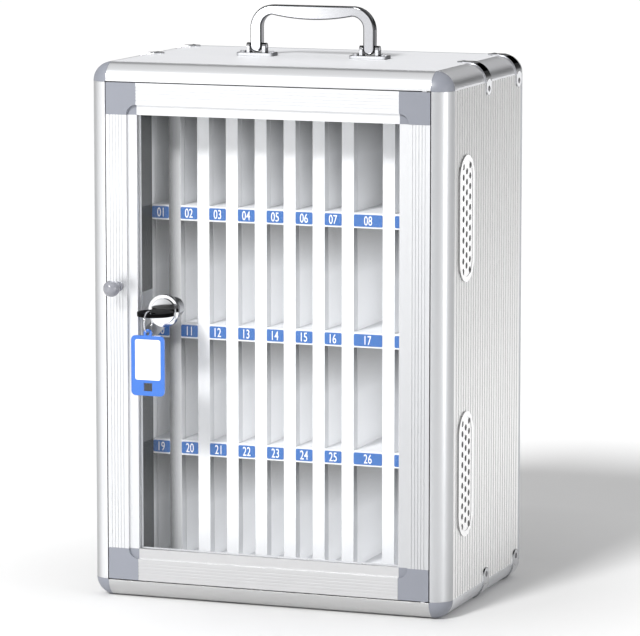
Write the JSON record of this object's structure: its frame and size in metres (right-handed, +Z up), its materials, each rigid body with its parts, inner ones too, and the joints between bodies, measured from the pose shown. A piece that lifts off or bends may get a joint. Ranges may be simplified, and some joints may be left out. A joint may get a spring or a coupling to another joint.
{
  "type": "cell phone locker box",
  "caption": "Lockable glazed cabinet with numbered upright phone slots, side vents and a folding carry handle.",
  "frame": {"origin": "centre of the base face, on the surface that the cabinet stands on", "axes": "+X to the right seen from the front, +Y from the door to the back, +Z up"},
  "size_m": [0.3544, 0.2646, 0.548],
  "materials": {
    "profile": "satin",
    "door_frame": "satin, finely ribbed",
    "corner": "smooth grey",
    "panel": "smooth satin",
    "ribbed_panel": "satin, ribbed",
    "rear_trim": "smooth grey",
    "bright_metal": "polished",
    "steel": "brushed",
    "vent": "smooth white",
    "slot_board": "satin white",
    "label": "printed film",
    "pane": "clear",
    "bead": "matt",
    "knob": "smooth grey",
    "bow": "black",
    "tag": "clear blue",
    "card": "paper under film"
  },
  "bodies": {
    "cabinet": {"front_profile_top": "profile", "front_profile_bottom": "profile", "front_profile_left": "profile", "front_profile_right": "profile", "corner_cap_top_left": "corner", "corner_cap_top_right": "corner", "corner_cap_bottom_left": "corner", "corner_cap_bottom_right": "corner", "edge_profile_top_left": "profile", "edge_profile_top_right": "profile", "edge_profile_bottom_left": "profile", "edge_profile_bottom_right": "profile", "top_panel": "panel", "bottom_panel": "panel", "left_panel": "ribbed_panel", "right_panel": "ribbed_panel", "back_panel": "panel", "rear_trim_left": "rear_trim", "rear_trim_right": "rear_trim", "rear_trim_top": "rear_trim", "rear_trim_bottom": "rear_trim", "edge_clips": "bright_metal", "clip_rivets": "steel", "vent_plates_left": "vent", "vent_plates_right": "vent", "slot_dividers": "slot_board", "slot_side_left": "slot_board", "slot_side_right": "slot_board", "slot_floor_1": "slot_board", "slot_floor_2": "slot_board", "slot_floor_3": "slot_board", "slot_floor_4": "slot_board", "slot_ceiling": "slot_board", "number_labels": "label", "lock_strike": "steel", "hinge_pins": "steel", "handle_bracket_left": "bright_metal", "handle_bracket_right": "bright_metal", "bracket_screws": "steel", "handle_pins": "steel"},
    "door": {"door_stile_left": "door_frame", "door_stile_right": "door_frame", "door_rail_top": "door_frame", "door_rail_bottom": "door_frame", "door_corner_blocks": "corner", "door_pane": "pane", "glazing_bead": "bead", "door_knob": "knob", "knob_screw": "steel", "lock_body": "bright_metal", "lock_nut": "steel"},
    "lock_plug": {"lock_plug": "bright_metal", "lock_cam": "steel", "cam_screw": "steel"},
    "key": {"key_blade": "steel", "key_bow": "bow"},
    "ring": {"key_ring": "bright_metal"},
    "tag": {"key_tag": "tag", "tag_card": "card"},
    "handle": {"handle_bar": "bright_metal"}
  },
  "joints": [
    {"name": "door_hinge", "type": "hinge", "parent": "cabinet", "child": "door", "pos_m": [0.151, -0.1068, 0.25], "axis": [0, 0, 1], "range_deg": [0, 110]},
    {"name": "lock_turn", "type": "hinge", "parent": "door", "child": "lock_plug", "pos_m": [-0.1023, -0.09, 0.272], "axis": [0, 1, 0], "range_deg": [-45, 45]},
    {"name": "key_slide", "type": "slide", "parent": "lock_plug", "child": "key", "axis": [0, -1, 0], "range_m": [0, 0.03]},
    {"name": "ring_swing", "type": "hinge", "parent": "key", "child": "ring", "pos_m": [-0.1023, -0.14115, 0.272], "axis": [1, 0, 0], "range_deg": [-25, 20]},
    {"name": "tag_swivel", "type": "hinge", "parent": "ring", "child": "tag", "pos_m": [-0.1023, -0.1445, 0.2573], "axis": [0, 1, 0], "range_deg": [-45, 45]},
    {"name": "handle_swing", "type": "hinge", "parent": "cabinet", "child": "handle", "pos_m": [0, 0.016, 0.509], "axis": [1, 0, 0], "range_deg": [-90, 90]}
  ],
  "couplings": [
    {"joint": "tag_swivel", "follows": "lock_turn", "ratio": -1}
  ]
}
